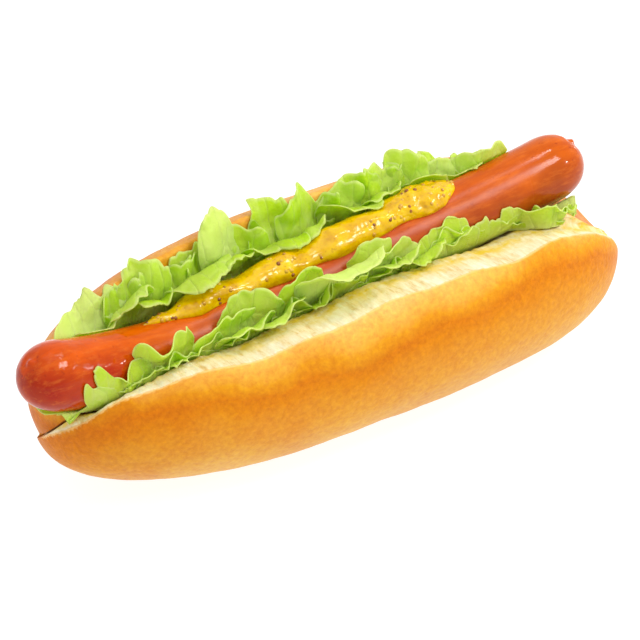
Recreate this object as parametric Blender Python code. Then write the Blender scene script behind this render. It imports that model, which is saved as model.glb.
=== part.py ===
"""A hot dog: a long soft roll slit along its near side, a curved sausage bedded in it,
two ruffled lettuce leaves and a thick ribbon of wholegrain mustard.

Metres, +Z up. +X runs along the roll and +Y points to the side where the roll is hinged.
The origin is at the middle of the box, on the surface that the roll rests on.
"""

import math

import bmesh
import bpy
import numpy as np

MM = 0.001
GAP = 0.35 * MM  # clearance between neighbouring pieces
# Every x below is measured from the middle of the roll. The sausage overhangs the left
# nose, so the middle of the box, which is the origin, is this far from there.
BOX_MIDDLE = -3.32 * MM

# The roll, before it is cut: superellipse sections that shrink towards both noses.
ROLL_LENGTH = 180 * MM
ROLL_HALF_WIDTH = 34.3 * MM
ROLL_WAIST = 28 * MM  # height of its widest line
ROLL_CROWN = 32.5 * MM  # how far it rises above that line
ROLL_BELLY = 29.5 * MM  # how far it would reach below, if its base weren't flat
SECTION_POWER = 2.15
LEFT_PLAN_POWER, RIGHT_PLAN_POWER = 2.3, 2.45  # the right nose is the blunter one
BELLY_POWER = 3.0
RIGHT_DROOP = 4 * MM  # how far the waist drops at the right nose

# The cut: a shelf of crumb on the near side, and the far side left as a wall.
SHELF_RIM = 0.80  # where the shelf meets the crust, as a share of the half width
SHELF_SLOPE = math.tan(math.radians(17))
SHELF_DROP = 4.5 * MM  # how far the shelf dips at both noses
SHELF_END = 2.5 * MM  # how wide it still is there
WALL_LEAN = 5.0 * MM  # how far the far wall leans back over its height
WALL_HEIGHT = 17 * MM
CUT_TOP = 90 * MM  # above everything that is cut away
# The slit that carries the shelf's inner edge on over the left nose.
SLIT_WIDTH, SLIT_DEPTH = 1.2 * MM, 11 * MM
SLIT_START, SLIT_END = -93 * MM, -74 * MM
SLIT_START_ANGLE, SLIT_END_ANGLE = math.radians(70), math.radians(25)

# The sausage.
SAUSAGE_RADIUS = 9.4 * MM
SAUSAGE_LEFT, SAUSAGE_RIGHT = -95.5 * MM, 79.5 * MM  # where its axis ends
SAUSAGE_LOW_X, SAUSAGE_LOW_Z = -46 * MM, 37.3 * MM  # the lowest point of its axis
SAUSAGE_RISE_LEFT, SAUSAGE_RISE_RIGHT = 11.5 * MM, 16.5 * MM  # how far each end rises
SAUSAGE_SWING = 6.5 * MM  # how far the left end swings to the near side
SAUSAGE_SWING_FROM = 20 * MM
SAUSAGE_TIP = 11 * MM
SAUSAGE_TIP_POWER = 2.2

# The lettuce: a far leaf that lines the bed under the sausage, and a near one.
LEAF_THICKNESS = 0.9 * MM
BED_RADIUS = SAUSAGE_RADIUS + LEAF_THICKNESS + 2 * GAP
LINER_RADIUS = SAUSAGE_RADIUS + GAP + LEAF_THICKNESS / 2
COLLAR = math.radians(88)  # where a leaf parts from the sausage, from straight up
COLLAR_SLIP = math.radians(52)  # how much lower it parts at a leaf's ends
FAR_LEAF_FOOT = math.radians(200)  # where the far leaf starts, round past the bottom
NEAR_LEAF_FOOT = math.radians(-150)
FAR_LEAF_LEAN, NEAR_LEAF_LEAN = math.radians(38), math.radians(24)
RUFFLE_LENGTH = 13.5 * MM
RUFFLE_REACH = 3.2 * MM
# Each leaf's ends, and where it comes out from under the sausage there.
FAR_LEAF_ENDS, FAR_LEAF_OPEN = (-90 * MM, 61 * MM), (18 * MM, 6 * MM)
NEAR_LEAF_ENDS, NEAR_LEAF_OPEN = (-80 * MM, 78 * MM), (12 * MM, 20 * MM)
# Height of each leaf's edge: (x, half width, height) of the lobes above the base, in mm.
FAR_LEAF_EDGE, NEAR_LEAF_EDGE = 56 * MM, 49 * MM
FAR_LOBES = ((-84, 13, -16), (-46, 8, 3), (-30, 4, 9), (-14, 5, 4), (7, 5, 6), (29, 4, 8), (42, 7, 2), (64, 9, -5))
NEAR_LOBES = ((-70, 8, -5), (-57, 5, -4), (-27, 12, 5), (-15, 4, 4), (6, 11, 11), (26, 10, 7), (44, 10, 3))


# The mustard.
MUSTARD_LEFT, MUSTARD_RIGHT = -59 * MM, 41 * MM
MUSTARD_THICKNESS = 4.0 * MM
MUSTARD_MIDDLE = math.radians(9)  # where the ribbon lies on the sausage, from straight up
MUSTARD_HALF_ANGLE = math.radians(33)


def share(length, full, power):
    """The superellipse's other half axis, as a share, at this distance from its centre."""
    ratio = np.clip(np.abs(length / full), 0, 1)
    return (1 - ratio**power) ** (1 / power)


def smooth(t):
    t = np.clip(t, 0, 1)
    return t * t * (3 - 2 * t)


def roll_plan(x):
    """How wide the roll is at x, as a share of its full width."""
    left = share(x, ROLL_LENGTH / 2, LEFT_PLAN_POWER)
    return np.where(x < 0, left, share(x, ROLL_LENGTH / 2, RIGHT_PLAN_POWER))


def roll_waist(x):
    return ROLL_WAIST - RIGHT_DROOP * np.clip(2 * x / ROLL_LENGTH, 0, 1) ** 3


def roll_top(x, y):
    """Height of the uncut roll's upper surface."""
    plan = roll_plan(x)
    width = np.maximum(ROLL_HALF_WIDTH * plan, 1e-6)
    return roll_waist(x) + ROLL_CROWN * plan * share(y, width, SECTION_POWER)


def sausage_axis(x):
    """Points of the sausage's centre line, as an array of (x, y, z)."""
    x = np.asarray(x, float)
    left = np.maximum(SAUSAGE_LOW_X - x, 0) / (SAUSAGE_LOW_X - SAUSAGE_LEFT)
    right = np.maximum(x - SAUSAGE_LOW_X, 0) / (SAUSAGE_RIGHT - SAUSAGE_LOW_X)
    rise = SAUSAGE_RISE_LEFT * left**2 + SAUSAGE_RISE_RIGHT * right**1.5
    swing = np.clip((SAUSAGE_SWING_FROM - x) / (SAUSAGE_SWING_FROM - SAUSAGE_LEFT), 0, 2)
    return np.stack([x, -SAUSAGE_SWING * swing**1.5, SAUSAGE_LOW_Z + rise], axis=-1)


def axis_frame(x):
    """Centre, forward, sideways (+Y) and upward directions of the sausage at each x."""
    step = 0.5 * MM
    centre = sausage_axis(x)
    forward = sausage_axis(x + step) - sausage_axis(x - step)
    forward /= np.linalg.norm(forward, axis=-1, keepdims=True)
    sideways = np.cross([0.0, 0.0, 1.0], forward)
    sideways /= np.linalg.norm(sideways, axis=-1, keepdims=True)
    return centre, forward, sideways, np.cross(forward, sideways)


def around_axis(x, angle, radius):
    """Points at a radius from the sausage's axis. The angle is from straight up, towards +Y."""
    centre, _, sideways, upward = axis_frame(x)
    cos, sin = np.cos(angle)[..., None], np.sin(angle)[..., None]
    return centre + np.asarray(radius)[..., None] * (cos * upward + sin * sideways)


def shelf_rim(x):
    return -SHELF_RIM * ROLL_HALF_WIDTH * roll_plan(x)


def shelf_inner(x):
    """Where the shelf ends on the sausage's side. It narrows towards the noses."""
    bed = sausage_axis(x)[..., 1] - 0.3 * BED_RADIUS
    nose = smooth((np.abs(x) - 0.36 * ROLL_LENGTH) / (0.12 * ROLL_LENGTH))
    return bed + (shelf_rim(x) + SHELF_END - bed) * nose


def shelf_height(x, y):
    """Height of the crumb shelf, which falls from the rim towards the sausage."""
    rim = shelf_rim(x)
    dip = SHELF_DROP * np.abs(2 * x / ROLL_LENGTH) ** 8
    return roll_top(x, rim) - (y - rim) * SHELF_SLOPE - dip


def wall_inner(x, z):
    """Where the far wall's inner face is at this height."""
    _, y, axis_z = np.moveaxis(sausage_axis(x), -1, 0)
    return y + BED_RADIUS + WALL_LEAN * (z - axis_z) / WALL_HEIGHT


# ---------------------------------------------------------------- mesh helpers


def shaped_grid(name, points, material=None):
    """A grid whose vertices are moved to these points, with any seam and open ends closed."""
    points = np.asarray(points, float) - [BOX_MIDDLE, 0, 0]
    rows, columns = points.shape[0] - 1, points.shape[1] - 1
    mesh = bpy.data.meshes.new(name)
    shape = bmesh.new()
    bmesh.ops.create_grid(shape, x_segments=rows, y_segments=columns, size=1)
    for vertex in shape.verts:
        i, j = (vertex.co.x + 1) / 2 * rows, (vertex.co.y + 1) / 2 * columns
        vertex.co = points[round(i), round(j)]
    shape.to_mesh(mesh)
    shape.free()
    made = bpy.data.objects.new(name, mesh)
    bpy.context.scene.collection.objects.link(made)
    if material:
        mesh.materials.append(material)
        mesh.shade_smooth()
    return made


def loft(name, rings, material=None, pointed=False):
    """A closed body through rings of equal count. Pointed ends close to a vertex."""
    rings = np.asarray(rings, float)
    body = shaped_grid(name, np.concatenate([rings, rings[:, :1]], axis=1), material)
    shape = bmesh.new()
    shape.from_mesh(body.data)
    bmesh.ops.remove_doubles(shape, verts=shape.verts, dist=0.001 * MM)
    ends = [edge for edge in shape.edges if edge.is_boundary]
    caps = bmesh.ops.holes_fill(shape, edges=ends, sides=0)["faces"]
    if pointed:
        bmesh.ops.poke(shape, faces=caps)
    bmesh.ops.recalc_face_normals(shape, faces=shape.faces)
    shape.to_mesh(body.data)
    shape.free()
    if material:
        body.data.shade_smooth()
    return body


def cut(body, cutter):
    cutter.hide_render = True
    cutter.display_type = "WIRE"
    modifier = body.modifiers.new("cut", "BOOLEAN")
    modifier.operation = "DIFFERENCE"
    modifier.object = cutter


def surface(name, colour, roughness):
    material = bpy.data.materials.new(name)
    material.use_nodes = True
    shader = material.node_tree.nodes["Principled BSDF"]
    shader.inputs["Base Color"].default_value = (*colour, 1)
    shader.inputs["Roughness"].default_value = roughness
    return material


# ---------------------------------------------------------------- the roll


def stations(start, end, count, crowd=0.0):
    """Places from start to end, drawn towards both ends by the share in crowd."""
    t = np.linspace(-1, 1, count)
    t = (1 - crowd) * t + crowd * np.sin(t * math.pi / 2)
    return start + (end - start) * (t + 1) / 2


def roll_section(x, count):
    """One ring of the uncut roll, with its base flattened at the surface it rests on."""
    plan, waist = roll_plan(x), roll_waist(x)
    belly = ROLL_BELLY * share(x, ROLL_LENGTH / 2, BELLY_POWER)
    turn = np.linspace(0, 2 * math.pi, count, endpoint=False)
    cos, sin = np.cos(turn), np.sin(turn)
    power = 2 / SECTION_POWER
    y = ROLL_HALF_WIDTH * plan * np.sign(cos) * np.abs(cos) ** power
    reach = np.where(sin > 0, ROLL_CROWN * plan, belly)
    z = waist + reach * np.sign(sin) * np.abs(sin) ** power
    return np.stack([np.full(count, x), y, np.maximum(z, 0)], axis=-1)


def shelf_section(x):
    """What is cut away over the crumb shelf, up to the side of the sausage's bed."""
    inner = shelf_inner(x)
    outer = -1.5 * ROLL_HALF_WIDTH
    lip = shelf_height(x, inner)
    yz = [(outer, shelf_height(x, outer)), (inner, lip), (inner, CUT_TOP), (outer, CUT_TOP)]
    return [(x, y, z) for y, z in yz]


def bed_section(x, count):
    """What is cut away round the sausage and above it, back to the far wall."""
    _, forward, _, _ = axis_frame(x)
    _, y, z = sausage_axis(x)
    turn = np.linspace(0, math.pi, count)
    deep = BED_RADIUS / forward[0]  # a level section through a rising bed is deeper
    ring = [(x, y - BED_RADIUS * math.cos(a), z - deep * math.sin(a)) for a in turn]
    return ring + [(x, wall_inner(x, CUT_TOP), CUT_TOP), (x, y - BED_RADIUS, CUT_TOP)]


def slit_section(x):
    """A sliver that runs down and inwards from the shelf's inner edge."""
    t = (x - SLIT_START) / (SLIT_END - SLIT_START)
    angle = SLIT_START_ANGLE + (SLIT_END_ANGLE - SLIT_START_ANGLE) * t
    inwards = np.array([math.cos(angle), -math.sin(angle)])
    across = np.array([math.sin(angle), math.cos(angle)]) * SLIT_WIDTH / 2
    seen = max(x, -0.495 * ROLL_LENGTH)
    inner = shelf_inner(seen)
    start = np.array([inner, shelf_height(seen, inner)]) - inwards * 1.5 * MM
    end = start + inwards * (1.5 * MM + SLIT_DEPTH * (1 - t))
    return [(x, y, z) for y, z in (start - across, end - across / 3, end + across / 3, start + across)]


def build_bun(material):
    end = ROLL_LENGTH / 2 * 0.997
    rings = [roll_section(x, 28) for x in stations(-end, end, 25, crowd=0.75)]
    roll = loft("bun", rings, material, pointed=True)
    past = ROLL_LENGTH / 2 * 1.1
    shelf = [shelf_section(x) for x in stations(-past, past, 29)]
    cut(roll, loft("shelf_cutter", shelf))
    bed = [bed_section(x, 11) for x in stations(-past, past, 29)]
    cut(roll, loft("bed_cutter", bed))
    slit = [slit_section(x) for x in np.linspace(SLIT_START, SLIT_END, 6)]
    cut(roll, loft("slit_cutter", slit))
    return roll


# ---------------------------------------------------------------- the sausage


def sausage_radius(x):
    """The radius at x, which closes over the tips as a superellipse."""
    into_tip = np.maximum(SAUSAGE_LEFT + SAUSAGE_TIP - x, x - SAUSAGE_RIGHT + SAUSAGE_TIP)
    return SAUSAGE_RADIUS * share(np.maximum(into_tip, 0), SAUSAGE_TIP, SAUSAGE_TIP_POWER)


def build_sausage(material):
    inset = 0.12 * MM
    tip = np.linspace(0, 1, 7)[:-1]
    left = SAUSAGE_LEFT + inset + SAUSAGE_TIP * tip**1.7
    right = SAUSAGE_RIGHT - inset - SAUSAGE_TIP * tip[::-1] ** 1.7
    body = np.linspace(SAUSAGE_LEFT + SAUSAGE_TIP, SAUSAGE_RIGHT - SAUSAGE_TIP, 18)
    turn = -np.linspace(0, 2 * math.pi, 16, endpoint=False)
    rings = []
    for x in np.concatenate([left, body, right]):
        spot = np.full(len(turn), x)
        rings.append(around_axis(spot, turn, np.full(len(turn), sausage_radius(x))))
    return loft("sausage", rings, material, pointed=True)


# ---------------------------------------------------------------- the lettuce


def lobes(x, listed):
    """Extra height at x from a list of lobes."""
    rise = np.zeros_like(x)
    for middle, width, height in listed:
        rise = rise + height * MM * np.exp(-(((x - middle * MM) / (width * MM)) ** 2))
    return rise


def ruffle_phase(x, side):
    turns = 2 * math.pi * x / RUFFLE_LENGTH
    return turns + 0.8 * np.sin(0.37 * turns + side) + 0.25 * np.sin(0.83 * turns + 2 * side)


def leaf_middle(side, x, v, foot, lean, edge, listed, ends, opening):
    """The middle surface of a leaf: v runs from its foot in the bed to its frilled edge."""
    bend = 0.5  # the share of v that wraps the sausage
    shut_left = 1 - smooth((x - ends[0]) / opening[0])
    shut_right = 1 - smooth((ends[1] - x) / opening[1])
    shut = np.maximum(shut_left, shut_right)
    collar = side * (COLLAR + COLLAR_SLIP * shut)
    around = foot + (collar - foot) * np.clip(v / bend, 0, 1)
    wrapped = around_axis(x, around, np.full(np.shape(around), LINER_RADIUS))
    free = np.clip((v - bend) / (1 - bend), 0, 1)
    parting = sausage_axis(x)[..., 2] + LINER_RADIUS * np.cos(collar)
    height = np.maximum(edge + lobes(x, listed) - parting, 3 * MM) * (1 - 0.8 * shut)
    along = collar - side * math.pi / 2  # leaves along the tangent, then leans outwards
    turned = side * lean * free + 0.5 * along
    reach = height * free / math.cos(0.5 * lean)
    phase = ruffle_phase(x, side)
    swing = RUFFLE_REACH * np.clip(height / (11 * MM), 0, 1.1)
    sway = swing * free**1.7 * np.cos(phase)
    sway = sway + 0.2 * swing * free**3 * np.cos(2.6 * phase + 1)
    slip = -0.30 * swing * free**2 * np.sin(2 * phase)
    out = reach * np.sin(turned / 2) + sway * np.cos(turned)
    up = reach * np.cos(turned / 2) - sway * np.sin(turned)
    return wrapped + np.stack([slip, out, up], axis=-1)


def keep_clear(points, side):
    """Pushes a leaf's middle surface clear of the roll, the sausage and the mustard."""
    room = LEAF_THICKNESS / 2 + GAP
    for _ in range(3):
        x, y, z = np.moveaxis(points, -1, 0)
        centre, forward, _, _ = axis_frame(x)
        axis_y, axis_z, tilt = centre[..., 1], centre[..., 2], forward[..., 0]
        dy, dz = y - axis_y, (z - axis_z) * tilt
        reach = np.maximum(np.hypot(dy, dz), 1e-6)
        least = SAUSAGE_RADIUS + room + mustard_thickness(x, np.arctan2(dy, dz))
        most = np.where(dz < 0, LINER_RADIUS, 1)
        push = np.clip(reach, least, np.maximum(least, most)) / reach
        y, z = axis_y + dy * push, axis_z + dz * push / tilt
        if side > 0:  # up the far wall, then over its crest
            lip = roll_top(x, wall_inner(x, 55 * MM)) + 3 * room
            limit = wall_inner(x, np.minimum(z, lip)) - 1.2 * room
        else:  # up the side of the bed, then out over the shelf
            inner = axis_y - BED_RADIUS
            cut_there = inner < shelf_inner(x)
            lip = np.where(cut_there, shelf_height(x, inner), roll_top(x, inner)) + 1.9 * room
            limit = inner + 0.95 * room
        limit = limit + side * 1.6 * np.maximum(z - lip, 0)
        y = np.where(z > axis_z, side * np.minimum(side * y, side * limit), y)
        points = np.stack([x, y, z], axis=-1)
    return points


def build_leaf(name, side, foot, lean, edge, listed, ends, opening, material):
    x = np.linspace(*ends, 72)[:, None] * np.ones(11)
    v = np.linspace(0, 1, 11) * np.ones((72, 1))
    middle = leaf_middle(side, x, v, foot, lean, edge, listed, ends, opening)
    leaf = shaped_grid(name, keep_clear(middle, side), material)
    solid = leaf.modifiers.new("thickness", "SOLIDIFY")
    solid.thickness = LEAF_THICKNESS
    solid.offset = 0
    return leaf


# ---------------------------------------------------------------- the mustard


def mustard_width(x):
    """Half the angle that the ribbon covers at x, tapering to a point at both ends."""
    into_ends = np.minimum(x - MUSTARD_LEFT, MUSTARD_RIGHT - x) / (9 * MM)
    swell = 1 + 0.10 * np.sin(x / (4.1 * MM)) + 0.07 * np.sin(x / (2.3 * MM) + 1)
    return MUSTARD_HALF_ANGLE * np.sqrt(np.clip(into_ends, 0, 1)) * swell


def mustard_thickness(x, angle):
    half = np.maximum(mustard_width(x), 1e-6)
    across = np.clip(np.abs(angle - MUSTARD_MIDDLE) / half, 0, 1)
    lumps = 1 + 0.14 * np.sin(x / (3.0 * MM)) + 0.08 * np.sin(x / (1.7 * MM) + 2)
    into_ends = np.minimum(x - MUSTARD_LEFT, MUSTARD_RIGHT - x) / (9 * MM)
    return MUSTARD_THICKNESS * lumps * np.sqrt(1 - across**2.4) * np.sqrt(np.clip(into_ends, 0, 1))


def build_mustard(material):
    rings = []
    inset = 0.15 * MM
    for x in stations(MUSTARD_LEFT + inset, MUSTARD_RIGHT - inset, 34, crowd=0.5):
        half = mustard_width(x)
        over = MUSTARD_MIDDLE + half * np.cos(np.linspace(0, math.pi, 9))
        under = MUSTARD_MIDDLE + half * np.cos(np.linspace(math.pi, 2 * math.pi, 6)[1:-1])
        rise = np.maximum(mustard_thickness(x, over), 0.25 * MM)
        turn = np.concatenate([over, under])
        radius = SAUSAGE_RADIUS + GAP + np.concatenate([rise, np.zeros(4)])
        rings.append(around_axis(np.full(len(turn), x), turn, radius))
    return loft("mustard", rings, material, pointed=True)


# ---------------------------------------------------------------- main


def clear_scene():
    for each in list(bpy.data.objects):
        bpy.data.objects.remove(each)


def main():
    clear_scene()
    build_bun(surface("crust", (0.75, 0.42, 0.10), 0.5))
    build_sausage(surface("sausage_skin", (0.60, 0.15, 0.05), 0.25))
    green = surface("leaf_green", (0.42, 0.60, 0.06), 0.5)
    far = (FAR_LEAF_FOOT, FAR_LEAF_LEAN, FAR_LEAF_EDGE, FAR_LOBES, FAR_LEAF_ENDS, FAR_LEAF_OPEN)
    near = (NEAR_LEAF_FOOT, NEAR_LEAF_LEAN, NEAR_LEAF_EDGE, NEAR_LOBES)
    near += (NEAR_LEAF_ENDS, NEAR_LEAF_OPEN)
    build_leaf("lettuce_back", 1, *far, green)
    build_leaf("lettuce_front", -1, *near, green)
    build_mustard(surface("mustard_yellow", (0.80, 0.55, 0.01), 0.3))


main()
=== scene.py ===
import math
import random

import bpy
import numpy as np
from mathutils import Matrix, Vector, noise


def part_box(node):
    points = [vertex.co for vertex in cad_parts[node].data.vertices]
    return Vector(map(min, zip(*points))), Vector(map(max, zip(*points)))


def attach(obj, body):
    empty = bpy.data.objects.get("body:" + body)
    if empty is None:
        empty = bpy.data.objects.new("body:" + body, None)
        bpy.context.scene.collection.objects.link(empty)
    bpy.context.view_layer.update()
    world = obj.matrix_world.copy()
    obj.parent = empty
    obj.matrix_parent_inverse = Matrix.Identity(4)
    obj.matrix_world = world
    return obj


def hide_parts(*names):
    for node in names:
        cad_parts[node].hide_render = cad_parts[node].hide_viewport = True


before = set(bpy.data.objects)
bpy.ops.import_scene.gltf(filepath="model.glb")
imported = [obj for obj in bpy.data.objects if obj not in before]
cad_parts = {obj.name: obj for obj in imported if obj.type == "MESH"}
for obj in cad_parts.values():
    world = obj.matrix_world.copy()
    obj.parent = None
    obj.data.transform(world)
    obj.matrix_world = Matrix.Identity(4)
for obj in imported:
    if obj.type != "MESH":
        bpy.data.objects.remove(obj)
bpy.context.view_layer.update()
mm = 0.001



def deselectAll():
    bpy.ops.object.select_all(action="DESELECT")


def makeActive(piece):
    deselectAll()
    piece.select_set(True)
    bpy.context.view_layer.objects.active = piece


def smooth(t):
    t = np.clip(t, 0, 1)
    return t * t * (3 - 2 * t)


def shareAt(length, full, power):
    ratio = np.clip(np.abs(length / full), 0, 1)
    return (1 - ratio**power) ** (1 / power)


def addShapedGrid(name, points, closed=False):
    # a primitive grid whose vertices take these places; a closed one is rolled into a tube
    if closed:
        points = np.concatenate([points, points[:, :1]], axis=1)
    rows, columns = points.shape[0] - 1, points.shape[1] - 1
    deselectAll()
    bpy.ops.mesh.primitive_grid_add(x_subdivisions=rows, y_subdivisions=columns, size=2)
    piece = bpy.context.object
    piece.name = name
    piece.data.name = name
    place = np.zeros(len(piece.data.vertices) * 3)
    piece.data.vertices.foreach_get("co", place)
    place = place.reshape(-1, 3)
    i = np.rint((place[:, 0] + 1) / 2 * rows).astype(int)
    j = np.rint((place[:, 1] + 1) / 2 * columns).astype(int)
    piece.data.vertices.foreach_set("co", points[i, j].ravel())
    while piece.data.uv_layers:
        piece.data.uv_layers.remove(piece.data.uv_layers[0])
    if closed:
        bpy.ops.object.mode_set(mode="EDIT")
        bpy.ops.mesh.select_all(action="SELECT")
        bpy.ops.mesh.remove_doubles(threshold=0.0000005)
        bpy.ops.mesh.normals_make_consistent(inside=False)
        bpy.ops.object.mode_set(mode="OBJECT")
    bpy.ops.object.shade_smooth()
    return piece, i, j


def applyModifier(piece, kind, **settings):
    makeActive(piece)
    modifier = piece.modifiers.new(kind.lower(), kind)
    for key, value in settings.items():
        setattr(modifier, key, value)
    bpy.ops.object.modifier_apply(modifier=modifier.name)


def vertexPlaces(piece):
    place = np.zeros(len(piece.data.vertices) * 3)
    piece.data.vertices.foreach_get("co", place)
    return place.reshape(-1, 3)


def vertexNormals(piece):
    normal = np.zeros(len(piece.data.vertices) * 3)
    piece.data.vertex_normals.foreach_get("vector", normal)
    return normal.reshape(-1, 3)


def setPlaces(piece, place):
    piece.data.vertices.foreach_set("co", np.asarray(place, float).ravel())
    piece.data.update()


def setAttribute(piece, name, values):
    layer = piece.data.attributes.new(name, "FLOAT", "POINT")
    layer.data.foreach_set("value", np.asarray(values, np.float32))


def noiseAt(place, size, seed=0.0):
    # smooth noise from -1 to 1, whose lumps are about this size
    offset = Vector((seed, 2 * seed, 3 * seed))
    return np.array([noise.noise(Vector(p) / size + offset) for p in place])


def finishPiece(piece, slot, material, *nodes):
    piece.data.materials.clear()
    piece.data.materials.append(material)
    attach(piece, "root")
    if nodes:
        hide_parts(*nodes)
    print(piece.name, len(piece.data.polygons), "faces")



def linear(red, green, blue):
    # a colour as seen on a screen, 0 to 255, in the shader's own scale
    return tuple((c / 255) ** 2.2 for c in (red, green, blue)) + (1,)


class Shader:
    # keeps one material's nodes and makes links short to write
    def __init__(self, name):
        self.material = bpy.data.materials.new(name)
        self.material.use_nodes = True
        self.tree = self.material.node_tree
        self.main = self.tree.nodes["Principled BSDF"]
        self.output = self.tree.nodes["Material Output"]

    def add(self, kind, **inputs):
        node = self.tree.nodes.new(kind)
        for key, value in inputs.items():
            self.feed(node, key, value)
        return node

    def feed(self, node, key, value):
        socket = node.inputs[key if isinstance(key, int) else key.replace("_", " ")]
        if isinstance(value, bpy.types.NodeSocket):
            self.tree.links.new(value, socket)
        else:
            socket.default_value = value

    def math(self, operation, first, second=0.5, clamp=False):
        node = self.tree.nodes.new("ShaderNodeMath")
        node.operation = operation
        node.use_clamp = clamp
        self.feed(node, 0, first)
        self.feed(node, 1, second)
        return node.outputs[0]

    def ramp(self, factor, stops, smoothStops=False):
        node = self.tree.nodes.new("ShaderNodeValToRGB")
        elements = node.color_ramp.elements
        while len(elements) < len(stops):
            elements.new(0.5)
        for element, (position, colour) in zip(elements, stops):
            element.position = position
            element.color = colour if isinstance(colour, tuple) else (colour,) * 3 + (1,)
        if smoothStops:
            node.color_ramp.interpolation = "EASE"
        self.feed(node, 0, factor)
        return node.outputs[0]

    def mix(self, factor, first, second, blend="MIX"):
        node = self.tree.nodes.new("ShaderNodeMix")
        node.data_type = "RGBA"
        node.blend_type = blend
        for index, value in ((0, factor), (6, first), (7, second)):
            socket = node.inputs[index]
            if isinstance(value, bpy.types.NodeSocket):
                self.tree.links.new(value, socket)
            else:
                socket.default_value = value
        return node.outputs[2]

    def noise(self, place, scale, detail=2.0, roughness=0.5):
        node = self.add("ShaderNodeTexNoise", Vector=place, Scale=scale)
        node.inputs["Detail"].default_value = detail
        node.inputs["Roughness"].default_value = roughness
        return node.outputs[0]

    def attribute(self, name):
        node = self.tree.nodes.new("ShaderNodeAttribute")
        node.attribute_name = name
        return node.outputs["Fac"]

    def bump(self, height, distance, strength=1.0, normal=None):
        node = self.add("ShaderNodeBump", Height=height)
        node.inputs["Distance"].default_value = distance
        node.inputs["Strength"].default_value = strength
        if normal is not None:
            self.feed(node, "Normal", normal)
        return node.outputs[0]


bunLow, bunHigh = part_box("bun")
sausageLow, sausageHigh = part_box("sausage")
bunMiddle = (bunLow.x + bunHigh.x) / 2  # every x below is measured from here

sausage = {
    "radius": 9.4 * mm,
    "left": -95.5 * mm,
    "right": 79.5 * mm,
    "lowX": -46 * mm,
    "lowZ": 37.3 * mm,
    "riseLeft": 11.5 * mm,
    "riseRight": 16.5 * mm,
    "swing": 6.5 * mm,
    "swingFrom": 20 * mm,
    "tip": 11 * mm,
    "tipPower": 2.2,
    "nubLength": 0.6 * mm,
    "nubWidth": 0.7 * mm,
    "nubAngles": (math.radians(38), math.radians(48)),  # how far above the axis each tied end points
    "rings": 300,
    "sides": 112,
}
bed = {"radius": sausage["radius"] + 1.6 * mm, "liner": sausage["radius"] + 0.8 * mm}


def sausageAxis(x):
    x = np.asarray(x, float)
    left = np.maximum(sausage["lowX"] - x, 0) / (sausage["lowX"] - sausage["left"])
    right = np.maximum(x - sausage["lowX"], 0) / (sausage["right"] - sausage["lowX"])
    rise = sausage["riseLeft"] * left**2 + sausage["riseRight"] * right**1.5
    swing = np.clip((sausage["swingFrom"] - x) / (sausage["swingFrom"] - sausage["left"]), 0, 2)
    return np.stack([x, -sausage["swing"] * swing**1.5, sausage["lowZ"] + rise], axis=-1)


def axisFrame(x):
    # centre, forward, sideways and upward directions of the sausage at each x
    step = 0.5 * mm
    centre = sausageAxis(x)
    forward = sausageAxis(x + step) - sausageAxis(x - step)
    forward /= np.linalg.norm(forward, axis=-1, keepdims=True)
    sideways = np.cross([0.0, 0.0, 1.0], forward)
    sideways /= np.linalg.norm(sideways, axis=-1, keepdims=True)
    return centre, forward, sideways, np.cross(forward, sideways)


def aroundAxis(x, angle, radius):
    # the angle is from straight up, towards the far side
    centre, _, sideways, upward = axisFrame(x)
    cos, sin = np.cos(angle)[..., None], np.sin(angle)[..., None]
    return centre + np.asarray(radius)[..., None] * (cos * upward + sin * sideways)


def fromMiddle(points):
    return points + np.array([bunMiddle, 0, 0])


bun = {
    "length": (bunHigh.x - bunLow.x) / 0.997,
    "halfWidth": (bunHigh.y - bunLow.y) / 2,
    "waist": 28 * mm,
    "crown": 32.5 * mm,
    "belly": 29.5 * mm,
    "sectionPower": 2.15,
    "leftPower": 2.3,
    "rightPower": 2.45,
    "bellyPower": 3.0,
    "rightDroop": 4 * mm,
    "rim": 0.80,
    "slope": math.tan(math.radians(17)),
    "dip": 4.5 * mm,
    "shelfEnd": 2.5 * mm,
    "wallLean": 5 * mm,
    "wallHeight": 17 * mm,
    "voxel": 0.8 * mm,
    "crustDepth": 0.9 * mm,
}


def bunPlan(x):
    left = shareAt(x, bun["length"] / 2, bun["leftPower"])
    return np.where(x < 0, left, shareAt(x, bun["length"] / 2, bun["rightPower"]))


def bunWaist(x):
    return bun["waist"] - bun["rightDroop"] * np.clip(2 * x / bun["length"], 0, 1) ** 3


def bunTop(x, y):
    plan = bunPlan(x)
    width = np.maximum(bun["halfWidth"] * plan, 1e-6)
    return bunWaist(x) + bun["crown"] * plan * shareAt(y, width, bun["sectionPower"])


def shelfRim(x):
    # the cut's outer edge wanders between the roll's shoulder and its side
    share = bun["rim"] + 0.05 * np.exp(-(((x + 38 * mm) / (22 * mm)) ** 2))
    share = share - 0.03 * np.exp(-(((x - 62 * mm) / (14 * mm)) ** 2))
    share = share + 0.07 * smooth((np.abs(x) - 72 * mm) / (13 * mm))
    waver = 0.3 * mm * np.sin(x / (9.5 * mm)) + 0.25 * mm * np.sin(x / (4.3 * mm) + 1)
    return -share * bun["halfWidth"] * bunPlan(x) + waver


def shelfInner(x):
    inner = sausageAxis(x)[..., 1] - 0.3 * bed["radius"]
    rightEnd = 7.5 * mm - 4 * mm * smooth((x - 68 * mm) / (14 * mm))
    wide = np.where(x < 0, bun["shelfEnd"], rightEnd)
    nose = np.where(x < 0, smooth((-x - 65 * mm) / (21 * mm)), smooth((x - 54 * mm) / (16 * mm)))
    return inner + (shelfRim(x) + wide - inner) * nose


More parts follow.
